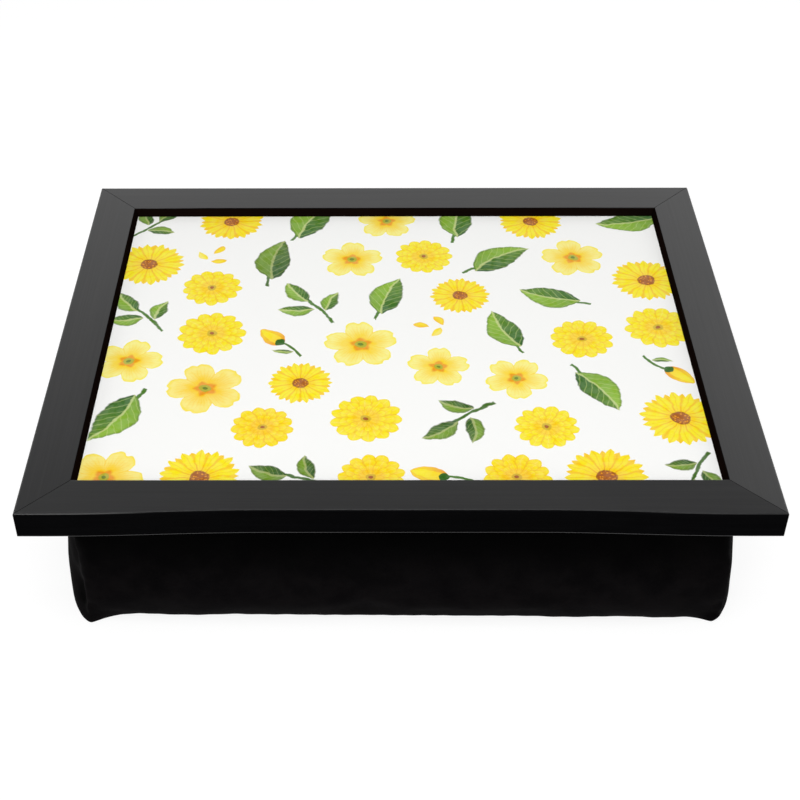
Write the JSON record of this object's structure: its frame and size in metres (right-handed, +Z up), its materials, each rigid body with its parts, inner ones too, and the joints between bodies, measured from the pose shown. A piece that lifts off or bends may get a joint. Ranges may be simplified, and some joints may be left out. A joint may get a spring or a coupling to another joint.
{
  "type": "lap tray",
  "caption": "Rectangular lap tray: a mitred black frame round a recessed printed panel, on a bead-filled velour cushion base.",
  "frame": {"origin": "middle of the flat underside of the cushion, where the tray stands", "axes": "+Z up, X along the tray's width, -Y towards the person who sits at it"},
  "size_m": [0.43, 0.343, 0.1071],
  "materials": {
    "black_foil_wrap": "satin black foil on a wooden moulding, faint lengthwise grain",
    "print_laminate": "satin white laminate with a printed pattern",
    "fibreboard": "raw medium density fibreboard",
    "hardboard": "raw hardboard",
    "zinc_plated_steel": "zinc plated",
    "black_velour": "short-pile black velour",
    "polystyrene_beads": "white expanded beads"
  },
  "bodies": {
    "root": {"back_left_v_nail_1": "zinc_plated_steel", "back_left_v_nail_2": "zinc_plated_steel", "back_point_1": "zinc_plated_steel", "back_point_2": "zinc_plated_steel", "back_point_3": "zinc_plated_steel", "back_rail": "black_foil_wrap", "back_right_v_nail_1": "zinc_plated_steel", "back_right_v_nail_2": "zinc_plated_steel", "back_staple_1": "zinc_plated_steel", "back_staple_2": "zinc_plated_steel", "back_staple_3": "zinc_plated_steel", "back_staple_4": "zinc_plated_steel", "back_staple_5": "zinc_plated_steel", "backing_board": "hardboard", "bead_fill": "polystyrene_beads", "cushion_back_wall": "black_velour", "cushion_base": "black_velour", "cushion_front_wall": "black_velour", "cushion_left_wall": "black_velour", "cushion_right_wall": "black_velour", "front_left_v_nail_1": "zinc_plated_steel", "front_left_v_nail_2": "zinc_plated_steel", "front_point_1": "zinc_plated_steel", "front_point_2": "zinc_plated_steel", "front_point_3": "zinc_plated_steel", "front_rail": "black_foil_wrap", "front_right_v_nail_1": "zinc_plated_steel", "front_right_v_nail_2": "zinc_plated_steel", "front_staple_1": "zinc_plated_steel", "front_staple_2": "zinc_plated_steel", "front_staple_3": "zinc_plated_steel", "front_staple_4": "zinc_plated_steel", "front_staple_5": "zinc_plated_steel", "left_point_1": "zinc_plated_steel", "left_point_2": "zinc_plated_steel", "left_rail": "black_foil_wrap", "left_staple_1": "zinc_plated_steel", "left_staple_2": "zinc_plated_steel", "left_staple_3": "zinc_plated_steel", "panel_board": "fibreboard", "print_sheet": "print_laminate", "right_point_1": "zinc_plated_steel", "right_point_2": "zinc_plated_steel", "right_rail": "black_foil_wrap", "right_staple_1": "zinc_plated_steel", "right_staple_2": "zinc_plated_steel", "right_staple_3": "zinc_plated_steel"}
  },
  "joints": []
}
